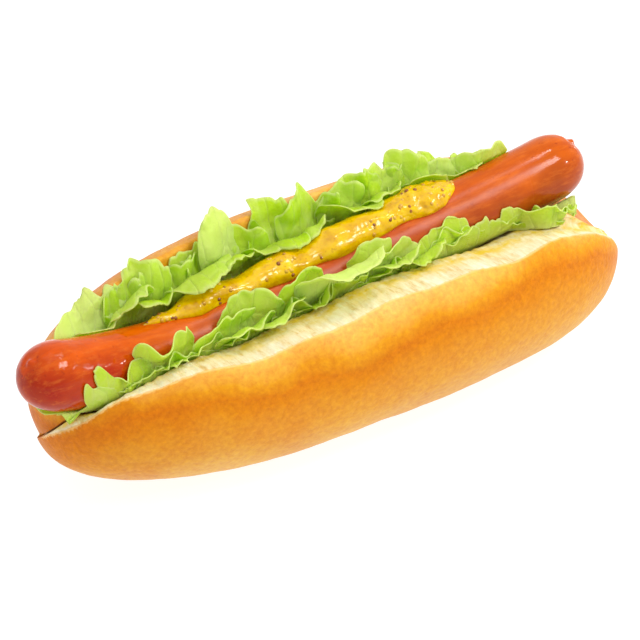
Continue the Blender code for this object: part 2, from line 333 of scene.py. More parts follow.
def shelfHeight(x, y):
    rim = shelfRim(x)
    dip = bun["dip"] * np.abs(2 * x / bun["length"]) ** 8
    return bunTop(x, rim) - (y - rim) * bun["slope"] - dip


def wallInner(x, z):
    centre = sausageAxis(x)
    return centre[..., 1] + bed["radius"] + bun["wallLean"] * (z - centre[..., 2]) / bun["wallHeight"]


def closedLoft(name, rings):
    # both ends are drawn in to a point, and the seam and the points are merged
    rings = np.asarray(rings, float)
    first = np.repeat(rings[0].mean(axis=0)[None, None], rings.shape[1], axis=1)
    last = np.repeat(rings[-1].mean(axis=0)[None, None], rings.shape[1], axis=1)
    piece, _, _ = addShapedGrid(name, fromMiddle(np.concatenate([first, rings, last])), closed=True)
    return piece


def bunRing(x, count):
    plan, waist = bunPlan(x), bunWaist(x)
    belly = bun["belly"] * shareAt(x, bun["length"] / 2, bun["bellyPower"])
    turn = np.linspace(0, 2 * math.pi, count, endpoint=False)
    cos, sin = np.cos(turn), np.sin(turn)
    power = 2 / bun["sectionPower"]
    y = bun["halfWidth"] * plan * np.sign(cos) * np.abs(cos) ** power
    reach = np.where(sin > 0, bun["crown"] * plan, belly)
    z = waist + reach * np.sign(sin) * np.abs(sin) ** power
    return np.stack([np.full(count, x), y, np.maximum(z, 0)], axis=-1)


def cutAway(body, cutter):
    applyModifier(body, "BOOLEAN", operation="DIFFERENCE", object=cutter, solver="EXACT")
    bpy.data.objects.remove(cutter)


def makeBun():
    t = np.linspace(-1, 1, 150)
    t = 0.2 * t + 0.8 * np.sin(t * math.pi / 2)
    roll = closedLoft("bunBread", [bunRing(x, 128) for x in t * bun["length"] / 2 * 0.997])
    cutTop = 90 * mm
    shelf, trough = [], []
    for x in np.linspace(-0.55, 0.55, 161) * bun["length"]:
        inner, outer = shelfInner(x), -1.5 * bun["halfWidth"]
        y = np.linspace(outer, inner, 12)
        low = [(x, each, shelfHeight(x, each)) for each in y]
        shelf.append(low + [(x, inner, cutTop), (x, outer, cutTop)])
        _, forward, _, _ = axisFrame(x)
        _, axisY, axisZ = sausageAxis(x)
        turn = np.linspace(0, math.pi, 40)
        past = np.clip((x - sausage["right"]) / (14 * mm) + 1, 0, 0.98)
        wide = bed["radius"] * math.sqrt(1 - past**2)
        deep = wide / forward[0]
        ring = [(x, axisY - wide * math.cos(a), axisZ - deep * math.sin(a)) for a in turn]
        outer = axisY + wide + (wallInner(x, cutTop) - axisY - bed["radius"]) * (1 - past)
        trough.append(ring + [(x, outer, cutTop), (x, axisY - wide, cutTop)])
    for name, rings in (("shelfCutter", shelf), ("troughCutter", trough)):
        cutAway(roll, closedLoft(name, rings))
    voxel = bun["voxel"] * 1
    applyModifier(roll, "REMESH", mode="VOXEL", voxel_size=voxel)
    applyModifier(roll, "SMOOTH", factor=0.5, iterations=8)
    return roll


# where the two halves part round the left end: x, y and z from the near rim to the tip
cleftLine = np.array([(-70, -20.5, 44), (-79, -15.6, 38.6), (-84.2, -12.3, 35.6), (-87.5, -9.4, 31.8), (-89.4, -6.4, 27.6), (-90.6, -2.5, 23.2), (-91, 2, 19)]) * mm


def cleftPath(count):
    along = np.linspace(0, len(cleftLine) - 1, len(cleftLine))
    wanted = np.linspace(0, len(cleftLine) - 1, count)
    return np.stack([np.interp(wanted, along, cleftLine[:, k]) for k in range(3)], axis=1)


def cutCleft(roll):
    path = cleftPath(40)
    path[1:-1] = (path[:-2] + 2 * path[1:-1] + path[2:]) / 4
    rings = []
    for index, at in enumerate(path):
        ahead = path[min(index + 1, len(path) - 1)] - path[max(index - 1, 0)]
        ahead /= np.linalg.norm(ahead)
        outward = np.array([0.75 * at[0] / (90 * mm), at[1] / (34 * mm), (at[2] - 26 * mm) / (30 * mm)])
        outward -= ahead * (outward @ ahead)
        outward /= np.linalg.norm(outward)
        across = np.cross(ahead, outward)
        deep = 6.5 * mm * math.sin(math.pi * min(0.95, 0.12 + 0.8 * index / len(path)))
        wide = 0.45 * mm
        rings.append([at + outward * 4 * mm - across * wide * 1.6, at - outward * deep, at + outward * 4 * mm + across * wide * 1.6])
    cutAway(roll, closedLoft("cleftCutter", rings))


def crumbAt(place):
    # 0 on the baked skin and 1 where the cut bread shows
    x, y, z = place[:, 0] - bunMiddle, place[:, 1], place[:, 2]
    plan = np.maximum(bunPlan(x), 0.02)
    belly = bun["belly"] * np.maximum(shareAt(x, bun["length"] / 2, bun["bellyPower"]), 0.02)
    rise = np.where(z > bunWaist(x), bun["crown"] * plan, belly)
    power = bun["sectionPower"]
    across = np.abs(y / (bun["halfWidth"] * plan)) ** power
    ratio = (across + np.abs((z - bunWaist(x)) / rise) ** power) ** (1 / power)
    depth = (1 - ratio) * np.hypot(y, z - bunWaist(x)) / np.maximum(ratio, 0.05)
    depth = np.where((z < 17 * mm) | (x > 0.485 * bun["length"]), 0, depth)
    skin = np.where(y > sausageAxis(x)[:, 1] + 5 * mm, 4.5, 0.3) * bun["crustDepth"]
    crumb = smooth((depth - skin) / (1.6 * bun["crustDepth"]))
    inner = shelfInner(x) + 0.5 * mm
    crumb = crumb * np.where(y > inner, 1 - smooth((x - 50 * mm) / (8 * mm)), 1)
    gap, beyond = besideCleft(x, y, z)
    crumb = crumb * np.where(beyond, smooth((x + 76 * mm) / (5 * mm)), 1)
    lip = np.where((gap < 1.0 * mm) & ~beyond, 1 - gap / (1.0 * mm), 0)
    return np.maximum(crumb, smooth(2 * lip))


def besideCleft(x, y, z):
    # distance from the line where the halves part, and which points lie on its far side
    path = cleftPath(60)
    gap, beyond = np.full(len(x), 1.0), np.zeros(len(x), bool)
    near = np.nonzero(x < -66 * mm)[0]
    spot = np.stack([x, y, z], axis=1)[near]
    away = np.linalg.norm(spot[:, None] - path[None], axis=2)
    gap[near] = away.min(axis=1)
    beyond[near] = (spot - path[away.argmin(axis=1)]) @ np.array([-0.2, 0.85, 0.45]) > 0
    return gap, beyond


def shapeBun(roll):
    # the skin swells and dimples a little, and the crumb is torn and open
    place, normal = vertexPlaces(roll), vertexNormals(roll)
    x, y, z = place[:, 0] - bunMiddle, place[:, 1], place[:, 2]
    crumb = crumbAt(place)
    setAttribute(roll, "crumb", crumb)
    inwards = (y - shelfRim(x)) / np.maximum(shelfInner(x) - shelfRim(x), 1e-4)
    setAttribute(roll, "inwards", np.where(y < sausageAxis(x)[:, 1], np.clip(inwards, 0, 1), 0))
    nearTop, farTop = bunTop(x, shelfRim(x)), bunTop(x, 14 * mm) + 2 * mm
    crustTop = nearTop + (farTop - nearTop) * smooth((y + 20 * mm) / (25 * mm))
    rightFar = smooth((x - 62 * mm) / (10 * mm)) * smooth((y - shelfInner(x)) / (2 * mm))
    setAttribute(roll, "below", (crustTop - z) / (36 * mm) + 0.38 * rightFar)
    swell = 0.45 * mm * noiseAt(place, 26 * mm) + 0.16 * mm * noiseAt(place, 8 * mm, 3)
    swell = swell + 0.05 * mm * noiseAt(place, 2.2 * mm, 6)
    torn = 0.4 * mm * noiseAt(place * [1, 0.2, 0.6], 1.9 * mm, 5) + 0.2 * mm * noiseAt(place, 1.3 * mm, 9)
    shift = (swell * (1 - crumb) + torn * crumb) * smooth(z / (4 * mm))
    # the far half ends short of the near one at the right
    short = smooth((x - 66 * mm) / (16 * mm)) * smooth((y - shelfInner(x) + 1 * mm) / (3 * mm))
    short = short * smooth((z - 26 * mm) / (16 * mm))
    gap, beyond = besideCleft(x, y, z)
    shift *= smooth(gap / (2.5 * mm))
    outward = np.stack([0.75 * x / (90 * mm), y / (34 * mm), (z - 26 * mm) / (30 * mm)], axis=1)
    outward /= np.maximum(np.linalg.norm(outward, axis=1, keepdims=True), 1e-6)
    recess = np.where(beyond, 1.4 * mm * np.exp(-((gap / (7 * mm)) ** 2)), 0)
    # and its end slopes down to the cut
    cut = shelfHeight(x, np.minimum(y, shelfInner(x))) + 1 * mm
    sloped = smooth((x - 58 * mm) / (18 * mm)) * smooth((y - shelfRim(x)) / (1.5 * mm))
    sloped = sloped * (1 - smooth((y - 5 * mm) / (13 * mm)))
    place[:, 2] -= 0.75 * sloped * np.maximum(z - cut, 0)
    place[:, 0] -= 4 * mm * short
    corner = smooth((x - 81 * mm) / (12 * mm)) * smooth((z - 16 * mm) / (20 * mm))
    place[:, 2] -= 5.5 * mm * corner
    setPlaces(roll, place + normal * shift[:, None] - outward * recess[:, None])


def bunMaterial():
    s = Shader("bakedBread")
    place = s.add("ShaderNodeTexCoord").outputs["Object"]
    x = s.add("ShaderNodeSeparateXYZ", Vector=place).outputs[0]
    along = s.math("ADD", s.math("MULTIPLY", x, 1 / bun["length"]), 0.5)
    patches = s.math("SUBTRACT", s.noise(place, 32.0, 4.0, 0.62), 0.5)
    sooner = s.ramp(along, ((0.0, 0.20), (0.30, 0.12), (0.52, 0.02), (0.75, 0.15), (1.0, 0.18)))
    below = s.math("ADD", s.attribute("below"), s.math("MULTIPLY", patches, 0.42))
    below = s.math("ADD", below, sooner)
    # the crust's tone by depth below its top edge is partly its baking and partly painted light: paler near the top
    # edge where light falls from above, darkest a third of the way down, and paler again low down as painted bounce
    # light from the floor
    crust = s.ramp(
        below,
        (
            (0.00, linear(232, 186, 108)),
            (0.12, linear(226, 172, 78)),
            (0.24, linear(212, 148, 30)),
            (0.34, linear(194, 119, 8)),
            (0.44, linear(202, 130, 12)),
            (0.56, linear(206, 142, 38)),
            (0.78, linear(212, 156, 60)),
            (1.00, linear(218, 172, 90)),
        ),
    )
    toasted = s.ramp(s.noise(place, 30.0, 3.0, 0.6), ((0.40, 0.0), (0.68, 1.0)))
    reach = s.ramp(along, ((0.0, 0.5), (0.4, 0.34), (0.75, 0.2), (1.0, 0.1)))
    crust = s.mix(s.math("MULTIPLY", toasted, reach), crust, linear(184, 92, 4))
    fine = s.noise(place, 700.0, 3.0, 0.65)
    crust = s.mix(0.3, crust, s.ramp(fine, ((0.3, linear(176, 100, 24)), (0.7, linear(255, 222, 150)))), "OVERLAY")
    stretched = s.add("ShaderNodeMapping", Vector=place)
    stretched.inputs["Scale"].default_value = (1, 0.14, 0.4)
    fibres = s.noise(stretched.outputs[0], 760.0, 4.0, 0.75)
    broad = s.noise(stretched.outputs[0], 170.0, 2.0, 0.5)
    pores = s.noise(place, 1000.0, 3.0, 0.6)
    openness = s.math("ADD", s.math("MULTIPLY", fibres, 0.6), s.math("MULTIPLY", broad, 0.4))
    crumbColour = s.ramp(
        openness,
        ((0.36, linear(214, 174, 108)), (0.47, linear(234, 212, 164)), (0.62, linear(244, 232, 202))),
    )
    spread = s.ramp(s.attribute("inwards"), ((0.22, 0.0), (0.50, 1.0)))
    blotch = s.ramp(s.noise(place, 230.0, 3.0, 0.6), ((0.38, 0.15), (0.60, 0.95)))
    crumbColour = s.mix(s.math("MULTIPLY", spread, blotch), crumbColour, linear(230, 190, 56))
    ragged = s.math("ADD", s.attribute("crumb"), s.math("MULTIPLY", s.math("SUBTRACT", fibres, 0.5), 0.5))
    isCrumb = s.ramp(ragged, ((0.25, 0.0), (0.75, 1.0)))
    edge = s.ramp(s.attribute("crumb"), ((0.0, 0.0), (0.2, 1.0), (0.7, 0.0)))
    crust = s.mix(s.math("MULTIPLY", edge, 0.7), crust, linear(250, 210, 136))
    s.feed(s.main, "Base Color", s.mix(isCrumb, crust, crumbColour))
    s.feed(s.main, "Roughness", s.ramp(isCrumb, ((0.0, 0.44), (1.0, 0.9))))
    s.main.inputs["Specular IOR Level"].default_value = 0.12
    s.main.inputs["Subsurface Weight"].default_value = 0.08
    s.main.inputs["Subsurface Radius"].default_value = (1.0, 0.55, 0.25)
    s.main.inputs["Subsurface Scale"].default_value = 0.003
    skin = s.math("ADD", s.math("MULTIPLY", fine, 0.5), s.math("MULTIPLY", s.noise(place, 240.0, 3.0), 0.5))
    rough = s.math("ADD", s.math("MULTIPLY", fibres, 0.7), s.math("MULTIPLY", pores, 0.3))
    relief = s.mix(isCrumb, skin, rough)
    s.feed(s.main, "Normal", s.bump(relief, 0.0009, 0.5))
    return s.material


roll = makeBun()
cutCleft(roll)
shapeBun(roll)
bpy.ops.object.shade_smooth_by_angle(angle=math.radians(48))
finishPiece(roll, "bun", bunMaterial(), "bun")
print("stage: roll done")



def sausageRadius(x):
    into = np.maximum(sausage["left"] + sausage["tip"] - x, x - sausage["right"] + sausage["tip"])
    return sausage["radius"] * shareAt(np.maximum(into, 0), sausage["tip"], sausage["tipPower"])


def makeSausage():
    length = sausage["right"] - sausage["left"]
    t = np.linspace(0, 1, sausage["rings"])
    near = 0.5 - 0.5 * np.cos(math.pi * t)
    x = sausage["left"] + length * (0.35 * t + 0.65 * near)
    x = np.clip(x, sausage["left"] + 0.02 * mm, sausage["right"] - 0.02 * mm)
    turn = -np.linspace(0, 2 * math.pi, sausage["sides"], endpoint=False)
    spots = x[:, None] * np.ones(len(turn))
    radius = sausageRadius(x)[:, None] * np.ones(len(turn))
    body = closedLoft("sausageSkin", aroundAxis(spots, np.ones_like(spots) * turn, radius))
    place, normal = vertexPlaces(body), vertexNormals(body)
    along = place[:, 0] - bunMiddle
    shift = 0.18 * mm * noiseAt(place * [0.5, 1, 1], 12 * mm, 2)
    for end, direction, raised in zip((sausage["left"], sausage["right"]), (-1, 1), sausage["nubAngles"]):
        centre, forward, _, upward = axisFrame(end - direction * sausage["tip"] * 0.55)
        aim = direction * forward * math.cos(raised) + upward * math.sin(raised)
        offset = place - fromMiddle(centre)
        reach = np.linalg.norm(offset, axis=1)
        turned = np.arccos(np.clip(offset @ aim / np.maximum(reach, 1e-9), -1, 1)) * reach
        ahead = (offset @ aim) > 0
        turned = np.where(ahead, turned, 1.0)
        shift += sausage["nubLength"] * np.exp(-((turned / sausage["nubWidth"]) ** 2))
        shift -= 0.22 * mm * np.exp(-(((turned - 1.8 * mm) / (0.9 * mm)) ** 2))
        pleats = np.exp(-(((turned - 4 * mm) / (3 * mm)) ** 2))
        shift += 0.12 * mm * pleats * noiseAt(place, 1.8 * mm, 4)
    centre, _, sideways, upward = axisFrame(along)
    offset = place - fromMiddle(centre)
    turned = np.arctan2((offset * sideways).sum(axis=1), (offset * upward).sum(axis=1))
    wrinkled = smooth((-54 * mm - along) / (14 * mm)) * smooth((along + 90 * mm) / (8 * mm))
    wrinkled = wrinkled * np.exp(-(((turned + 0.7) / 0.8) ** 2))
    shift += wrinkled * 0.16 * mm * noiseAt(place * [1, 0.55, 0.55], 1.5 * mm, 7)
    shift += 0.05 * mm * noiseAt(place * [0.6, 1, 1], 3.0 * mm, 8)
    setPlaces(body, place + normal * shift[:, None])
    setAttribute(body, "round", turned / math.pi)
    return body


def sausageMaterial():
    s = Shader("cookedSkin")
    place = s.add("ShaderNodeTexCoord").outputs["Object"]
    x = s.add("ShaderNodeSeparateXYZ", Vector=place).outputs[0]
    along = s.math("ADD", s.math("MULTIPLY", x, 1 / 0.19), 0.5)
    cloud = s.noise(place, 60.0, 3.0, 0.6)
    waver = s.math("MULTIPLY", s.math("SUBTRACT", s.noise(place, 90.0, 3.0, 0.6), 0.5), 0.35)
    turned = s.math("ADD", s.attribute("round"), waver)
    # the skin's top (crown) is painted lighter orange and its sides and underside darker red: painted light from above
    # and painted shade below, while the change along the length is the skin's own tone
    crown = s.ramp(
        along,
        (
            (0.00, linear(190, 52, 0)),
            (0.10, linear(208, 82, 0)),
            (0.30, linear(212, 96, 0)),
            (0.55, linear(190, 74, 10)),
            (0.80, linear(196, 88, 4)),
            (1.00, linear(192, 84, 0)),
        ),
    )
    shadedFlank = s.ramp(
        along,
        (
            (0.00, linear(148, 0, 0)),
            (0.14, linear(156, 8, 0)),
            (0.30, linear(156, 44, 14)),
            (0.60, linear(154, 64, 26)),
            (0.85, linear(150, 66, 26)),
            (1.00, linear(176, 72, 8)),
        ),
    )
    nearness = s.math("ADD", s.math("MULTIPLY", turned, 0.5), 0.5)
    # lit is the painted lit band along the top of the sausage
    lit = s.ramp(nearness, ((0.31, 0.0), (0.45, 1.0), (0.62, 1.0), (0.74, 0.0)))
    tone = s.mix(lit, shadedFlank, crown)
    tone = s.mix(s.ramp(cloud, ((0.35, 0.0), (0.70, 0.45))), tone, linear(216, 98, 10))
    lengthwise = s.add("ShaderNodeMapping", Vector=place)
    lengthwise.inputs["Scale"].default_value = (0.25, 1, 1)
    streaks = s.ramp(s.noise(lengthwise.outputs[0], 330.0, 4.0, 0.65), ((0.42, 0.0), (0.62, 0.3)))
    tone = s.mix(streaks, tone, linear(148, 44, 10))
    mottled = s.ramp(s.noise(lengthwise.outputs[0], 640.0, 4.0, 0.7), ((0.50, 0.0), (0.70, 0.25)))
    tone = s.mix(mottled, tone, linear(236, 130, 50))
    freckle = s.ramp(s.noise(place, 560.0, 2.0), ((0.66, 0.0), (0.76, 0.4)))
    tone = s.mix(freckle, tone, linear(130, 36, 8))
    s.feed(s.main, "Base Color", tone)
    s.feed(s.main, "Roughness", s.ramp(along, ((0.15, 0.08), (0.27, 0.30), (0.82, 0.30), (0.88, 0.09))))
    s.main.inputs["Specular IOR Level"].default_value = 0.2
    skin = s.noise(place, 420.0, 1.0)
    puckered = s.ramp(along, ((0.04, 0.0), (0.06, 1.0), (0.13, 1.0), (0.17, 0.0), (0.87, 0.0), (0.90, 0.5)))
    wrinkles = s.math("MULTIPLY", s.noise(place, 700.0, 1.0), s.math("MULTIPLY", puckered, 0.5))
    s.feed(s.main, "Normal", s.bump(s.math("ADD", s.math("MULTIPLY", skin, 0.15), wrinkles), 0.0006, 0.4))
    return s.material


link = makeSausage()
finishPiece(link, "sausage", sausageMaterial(), "sausage")
print("stage: sausage done")


mustard = {
    "left": -59 * mm,
    "right": 41 * mm,
    "thickness": 4.0 * mm,
    "middle": math.radians(9),
    "middleLeft": math.radians(15),
    "halfAngle": math.radians(31),
    "halfAngleLeft": math.radians(24),
    "clusters": (-54, -50, -39, -35, -17, -13, 14, 20, 25, 29, 33, 37),  # mm, where grains gather
    "rings": 420,
    "sides": 72,
    "seeds": 90,
    "seedSize": 0.62 * mm,
}


def mustardMiddle(x):
    left = smooth((-12 * mm - x) / (34 * mm))
    return mustard["middle"] + (mustard["middleLeft"] - mustard["middle"]) * left


def mustardEnds(x):
    left = np.clip((x - mustard["left"]) / (17 * mm), 0, 1) ** 0.75
    return left * np.sqrt(np.clip((mustard["right"] - x) / (6 * mm), 0, 1))


def mustardWidth(x):
    swell = 1 + 0.08 * np.sin(x / (4.1 * mm)) + 0.06 * np.sin(x / (2.3 * mm) + 1)
    left = smooth((-5 * mm - x) / (36 * mm))
    half = mustard["halfAngle"] + (mustard["halfAngleLeft"] - mustard["halfAngle"]) * left
    return half * mustardEnds(x) * swell


def mustardThickness(x, angle):
    half = np.maximum(mustardWidth(x), 1e-6)
    across = np.clip(np.abs(angle - mustardMiddle(x)) / half, 0, 1)
    lumps = 1 + 0.10 * np.sin(x / (3.4 * mm)) + 0.05 * np.sin(x / (1.7 * mm) + 2)
    left = 1 - 0.2 * smooth((-5 * mm - x) / (36 * mm))
    return mustard["thickness"] * left * lumps * np.sqrt(1 - across**2.4) * mustardEnds(x)


def makeMustard():
    rings = []
    x = np.linspace(mustard["left"] + 0.15 * mm, mustard["right"] - 0.15 * mm, mustard["rings"])
    over = np.linspace(0, math.pi, mustard["sides"] - 12)
    under = np.linspace(math.pi, 2 * math.pi, 14)[1:-1]
    for each in x:
        half = mustardWidth(each)
        top = mustardMiddle(each) + half * np.cos(over)
        turn = np.concatenate([top, mustardMiddle(each) + half * np.cos(under)])
        rise = np.concatenate([np.maximum(mustardThickness(each, top), 0.1 * mm), np.zeros(12)])
        rings.append(aroundAxis(np.full(len(turn), each), turn, sausage["radius"] + 0.05 * mm + rise))
    ribbon = closedLoft("mustardRibbon", rings)
    place, normal = vertexPlaces(ribbon), vertexNormals(ribbon)
    stands = smooth((np.linalg.norm(place - fromMiddle(sausageAxis(place[:, 0] - bunMiddle)), axis=1) - sausage["radius"]) / (1.5 * mm))
    grainy = 0.5 + 1.3 * smooth((place[:, 0] - bunMiddle - 8 * mm) / (20 * mm))
    shift = 0.7 * mm * noiseAt(place, 7 * mm, 1) + 0.3 * grainy * mm * noiseAt(place, 2.6 * mm, 2)
    shift += 0.14 * grainy * mm * noiseAt(place, 1.1 * mm, 3)
    setPlaces(ribbon, place + normal * (shift * stands)[:, None])
    return ribbon


def mustardMaterial():
    s = Shader("mustardPaste")
    place = s.add("ShaderNodeTexCoord").outputs["Object"]
    cloud = s.noise(place, 240.0, 3.0, 0.55)
    tone = s.ramp(
        cloud,
        ((0.30, linear(202, 148, 0)), (0.50, linear(224, 176, 0)), (0.72, linear(240, 200, 16))),
    )
    grain = s.ramp(s.noise(place, 900.0, 2.0), ((0.62, 0.0), (0.72, 0.55)))
    tone = s.mix(grain, tone, linear(176, 116, 20))
    s.feed(s.main, "Base Color", tone)
    s.main.inputs["Roughness"].default_value = 0.2
    s.main.inputs["Coat Weight"].default_value = 0.45
    s.main.inputs["Coat Roughness"].default_value = 0.07
    s.main.inputs["Specular IOR Level"].default_value = 0.2
    s.main.inputs["Subsurface Weight"].default_value = 0.15
    s.main.inputs["Subsurface Radius"].default_value = (1.0, 0.6, 0.08)
    s.main.inputs["Subsurface Scale"].default_value = 0.002
    s.feed(s.main, "Normal", s.bump(s.noise(place, 520.0, 3.0), 0.0006, 0.25))
    return s.material


def makeSeeds(ribbon):
    # mustard seeds, some brown and some pale, half sunk in the ribbon
    draw = random.Random(4)
    place, normal = vertexPlaces(ribbon), vertexNormals(ribbon)
    upward = np.nonzero(normal[:, 2] > 0.1)[0]
    deselectAll()
    bpy.ops.mesh.primitive_ico_sphere_add(subdivisions=2, radius=1)
    first = bpy.context.object
    seeds = []
    for index in range(mustard["seeds"]):
        at = upward[draw.randrange(len(upward))]
        if index % 4:
            wanted = draw.choice(mustard["clusters"]) * mm + draw.gauss(0, 1.8 * mm)
            choices = [upward[draw.randrange(len(upward))] for _ in range(60)]
            at = min(choices, key=lambda each: abs(place[each, 0] - bunMiddle - wanted))
        seed = first.copy()
        seed.data = first.data.copy()
        bpy.context.scene.collection.objects.link(seed)
        size = mustard["seedSize"] * draw.uniform(0.75, 1.15)
        centre = place[at] - normal[at] * size * draw.uniform(0.25, 0.7)
        squash = np.array([draw.uniform(0.85, 1.15) for _ in range(3)])
        setPlaces(seed, vertexPlaces(seed) * size * squash + centre)
        setAttribute(seed, "tint", np.full(len(seed.data.vertices), draw.random()))
        seeds.append(seed)
    bpy.data.objects.remove(first)
    makeActive(seeds[0])
    for seed in seeds:
        seed.select_set(True)
    bpy.ops.object.join()
    piece = bpy.context.object
    piece.name = "mustardSeeds"
    bpy.ops.object.shade_smooth()
    return piece


def seedMaterial():
    s = Shader("mustardSeed")
    tint = s.attribute("tint")
    tone = s.ramp(
        tint,
        ((0.0, linear(120, 60, 24)), (0.35, linear(150, 84, 24)), (0.6, linear(196, 140, 30)), (1.0, linear(222, 176, 60))),
    )
    s.feed(s.main, "Base Color", tone)
    s.main.inputs["Roughness"].default_value = 0.3
    s.main.inputs["Coat Weight"].default_value = 0.4
    return s.material


ribbon = makeMustard()
finishPiece(ribbon, "mustard", mustardMaterial(), "mustard")
seeds = makeSeeds(ribbon)
finishPiece(seeds, "mustard", seedMaterial())
print("stage: mustard done")


# The lettuce is a low collar in each gap, with separate lobes standing in it.
leafThickness = 0.3 * mm
collars = (
    {
        "name": "leafBack",
        "node": "lettuce_back",
        "side": 1,
        "foot": 200,
        "ends": (-88, 60),
        "rise": 10,
        "lean": 20,
        "ruffle": 13.5,
        "reach": 2.2,
        "phase": 1.0,
        "opening": (14, 8),
        "fillers": (-59, 54, 9, 17, 14),
    },
    {
        "name": "leafFront",
        "node": "lettuce_front",
        "side": -1,
        "foot": -150,
        "ends": (-86, 73),
        "rise": 7.5,
        "lean": 15,
        "ruffle": 13.5,
        "reach": 1.6,
        "phase": -1.0,
        "opening": (12, 15),
        "fillers": (-64, 32, 10.5, 11, 12),
    },
)
# each lobe: x of its middle, width, length, lean outwards, further curl, turn about upright, ruffles
# across, ruffle depth, slant along the roll, cupping (mm and degrees), and how pale it is (-1 to 1)
# the paleness is partly each lobe's own tone and partly painted light and shade, set lobe by lobe
lobes = {
    "leafBack": (
        (-73, 28, 21, 5, 120, 0, 0.4, 0.8, 8, 0.3, 0.9),
        (-55, 18, 20, 12, 25, -12, 1.0, 2.0, 5, 1.5, 0.2),
        (-43, 18, 17, 14, 30, 14, 1.0, 2.0, 3, 2.0, -0.2),
        (-34, 20, 20, 12, 25, -14, 0.8, 1.8, -1, 2.0, 0.2),
        (-28, 15, 26, 6, 10, 10, 0.7, 1.6, -2, 3.0, 0.8),
        (-20, 17, 19, 12, 25, -10, 1.0, 2.2, -2, 1.0, 0.1),
        (-13, 17, 22, 10, 20, -12, 0.9, 2.0, 2, 1.5, 0.0),
        (-3, 17, 21, 10, 25, 14, 0.9, 2.0, -2, 1.5, -0.1),
        (8, 15, 18, 10, 15, -14, 0.8, 1.8, 2, 2.0, 0.3),
        (18, 16, 18, 12, 25, 12, 1.0, 2.0, -2, 1.0, 0.0),
        (30, 13, 21, 8, 8, -14, 0.8, 1.8, 2, 2.0, 0.3),
        (41, 14, 17, 8, 8, 10, 0.7, 1.4, 2, 2.0, 0.8),
        (52, 20, 19, 6, 5, -8, 0.7, 1.6, 0, 1.5, 0.7),
        (-70, 24, 13, 8, -110, 4, 0.4, 0.8, 0, 0.5, 0.5),
        (-60, 17, 18, 10, -130, 14, 0.9, 1.8, 3, 1.5, 0.3),
        (-51, 14, 19, 8, -160, -14, 0.8, 1.4, -2, 1.0, 0.0),
        (-39, 24, 22, 12, -165, 10, 0.6, 1.4, 3, 1.0, 0.2),
        (-26, 18, 19, 12, -145, 14, 0.8, 1.8, -3, 2.0, 0.1),
        (-15, 19, 20, 12, -155, -14, 0.8, 1.8, 2, 1.5, 0.0),
        (-3, 17, 19, 12, -145, 12, 0.8, 1.8, -2, 1.5, 0.2),
        (9, 19, 19, 12, -155, -12, 0.8, 1.8, 2, 2.0, 0.0),
        (21, 16, 17, 10, -135, 14, 0.8, 1.6, 0, 1.0, 0.1),
        (33, 15, 16, 5, -125, -12, 0.8, 1.6, 2, 1.5, 0.0),
        (47, 14, 14, 2, -90, 0, 0.8, 1.4, 0, 1.0, 0.5),
    ),
    "leafFront": (
        (-68, 19, 13, -12, 50, 14, 1.1, 2.8, -4, -1.0, 0.1),
        (-56, 19, 18, -10, 45, -14, 1.1, 2.8, -2, -1.0, 0.3),
        (-42, 23, 17, -8, 45, 12, 0.7, 1.8, 3, -1.0, 0.2),
        (-30, 22, 19, -6, 45, -8, 0.7, 1.8, -2, -1.0, 0.4),
        (-17, 18, 20, -5, 40, 10, 0.8, 1.8, 2, -1.0, 0.2),
        (6, 15, 20, -5, 18, -8, 0.6, 1.4, 1, -1.0, 0.6),
        (16, 16, 17, -5, 55, 10, 0.7, 1.4, -2, -2.0, 0.6),
        (28, 20, 14, -8, 45, -10, 0.8, 1.6, 2, -1.0, 0.1),
        (41, 19, 9.5, -10, 45, 10, 0.7, 1.6, -2, -1.0, 0.3),
        (55, 20, 10, -8, 50, -8, 0.8, 1.8, 0, -1.0, 0.2),
        (67, 15, 6.5, -5, 50, 8, 0.9, 1.4, 0, -1.0, 0.4),
        (-76, 11, 10, 0, 55, 10, 0.8, 1.2, -2, -1.0, 0.3),
        (-62, 16, 12, 12, 85, -10, 0.7, 1.6, 2, -1.0, 0.2),
        (-47, 18, 13, 8, 80, 12, 0.8, 1.6, -2, -1.0, 0.4),
        (-35, 22, 16, 6, 90, 8, 0.6, 1.4, 2, -1.5, 0.3),
        (-22, 19, 16, 6, 95, -8, 0.6, 1.2, -2, -1.5, 0.4),
        (-14, 15, 12, 6, 80, 8, 0.8, 1.6, 2, -1.0, 0.1),
        (-5, 31, 27, 0, 105, 10, 0.3, 0.7, 0, -2.0, 0.9),
        (14, 17, 17, 4, 85, -12, 0.5, 1.4, 0, -1.5, 0.6),
        (22, 17, 14, 6, 90, 10, 0.7, 1.6, 2, -1.5, 0.2),
        (34, 17, 12, 4, 80, -8, 0.7, 1.6, -2, -1.0, 0.4),
        (48, 16, 8, 0, 65, 8, 0.8, 1.4, 2, -1.0, 0.2),
        (64, 15, 7, -10, 50, -8, 1.0, 1.8, 0, -1.0, 0.3),
    ),
}


def cutHeight(x, y):
    # the cut, and past its inner edge the slope that rises to the far half
    cut = shelfHeight(x, np.minimum(y, shelfInner(x)))
    return cut + 0.3 * np.maximum(bunTop(x, y) - cut, 0) * smooth((y - shelfInner(x)) / (2 * mm))


